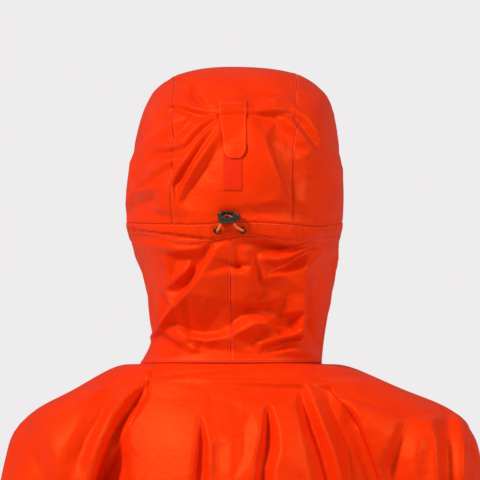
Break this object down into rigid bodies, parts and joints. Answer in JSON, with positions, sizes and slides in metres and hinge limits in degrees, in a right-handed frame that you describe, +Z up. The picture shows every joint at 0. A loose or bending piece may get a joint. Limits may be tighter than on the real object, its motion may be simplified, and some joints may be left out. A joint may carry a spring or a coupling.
{
  "type": "rain anorak, worn, with its hood up and no wearer",
  "caption": "Hooded waterproof pullover with a half zip, hood drawcord and volume tab, hollow and open at face, hem and cuffs.",
  "frame": {"origin": "on the wearer's neck, level with the neck seam at the back and in the middle of the neck opening", "axes": "+Z up along the wearer, the front with the zip faces -Y, the wearer's left arm is on +X"},
  "size_m": [0.626, 0.309, 1.0308],
  "materials": {
    "shell_cloth": "bright orange-red coated nylon, fine plain weave, low sheen",
    "loop_tape": "looped pile of a touch fastener, dyed to match",
    "cord_braid": "round braided polyester cord",
    "lock_plastic": "moulded, dark grey, glossy",
    "eyelet_metal": "dark bronzed",
    "zip_tape": "woven polyester zip tape",
    "zip_coil": "nylon coil",
    "slider_metal": "dark lacquered die-cast zinc"
  },
  "bodies": {
    "root": {"back_panel": "shell_cloth", "front_panel": "shell_cloth", "sleeve_left": "shell_cloth", "sleeve_right": "shell_cloth", "hood_centre": "shell_cloth", "hood_side_left": "shell_cloth", "hood_side_right": "shell_cloth", "hood_casing": "shell_cloth", "hood_neck_left": "shell_cloth", "hood_neck_right": "shell_cloth", "hood_tab": "shell_cloth", "hood_loop_patch": "loop_tape", "eyelet_left": "eyelet_metal", "eyelet_right": "eyelet_metal", "drawcord": "cord_braid", "cord_lock": "lock_plastic", "cord_lock_button": "lock_plastic", "zip_tape_left": "zip_tape", "zip_tape_right": "zip_tape", "zip_chain": "zip_coil", "zip_slider": "slider_metal"},
    "pull_tab": {"zip_pull": "slider_metal"}
  },
  "joints": [
    {"name": "pull_tab_swing", "type": "hinge", "parent": "root", "child": "pull_tab", "pos_m": [0, -0.12612, 0.0142], "axis": [-1, 0, 0], "range_deg": [-20, 155]}
  ]
}
